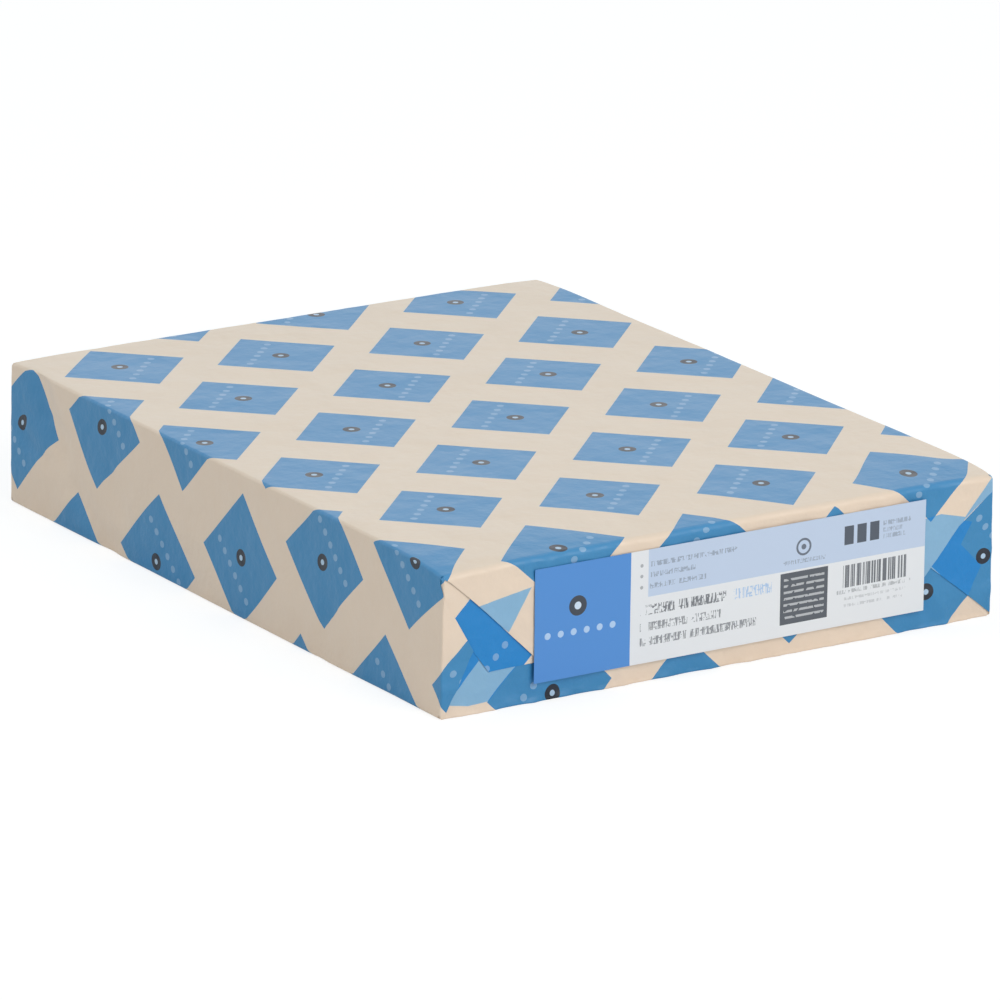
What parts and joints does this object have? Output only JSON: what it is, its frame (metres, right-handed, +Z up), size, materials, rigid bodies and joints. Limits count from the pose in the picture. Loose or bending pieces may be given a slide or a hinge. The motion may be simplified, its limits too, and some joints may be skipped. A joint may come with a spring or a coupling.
{
  "type": "wrapped ream of paper",
  "caption": "Sealed pack of letter-size copy paper in a printed paper wrapper with envelope-folded ends and a glued end label.",
  "frame": {"origin": "middle of the underside", "axes": "+Y along the ream's length, away from the label end; +X across it, to the right when the label is faced; +Z up, through its thickness"},
  "size_m": [0.2164, 0.2812, 0.0507],
  "materials": {
    "wrapper_paper": "uncoated, soft sheen",
    "blue_print": "printed on the wrapper, soft sheen",
    "label_paper": "smooth white",
    "label_blue": "printed on the label",
    "label_band": "printed on the label",
    "dark_print": "printed on the label"
  },
  "bodies": {
    "root": {"wrapped_ream": "wrapper_paper", "printed_squares": "blue_print", "end_label": "label_paper", "label_blue_panel": "label_blue", "label_pale_band": "label_band", "label_dark_print": "dark_print"}
  },
  "joints": []
}
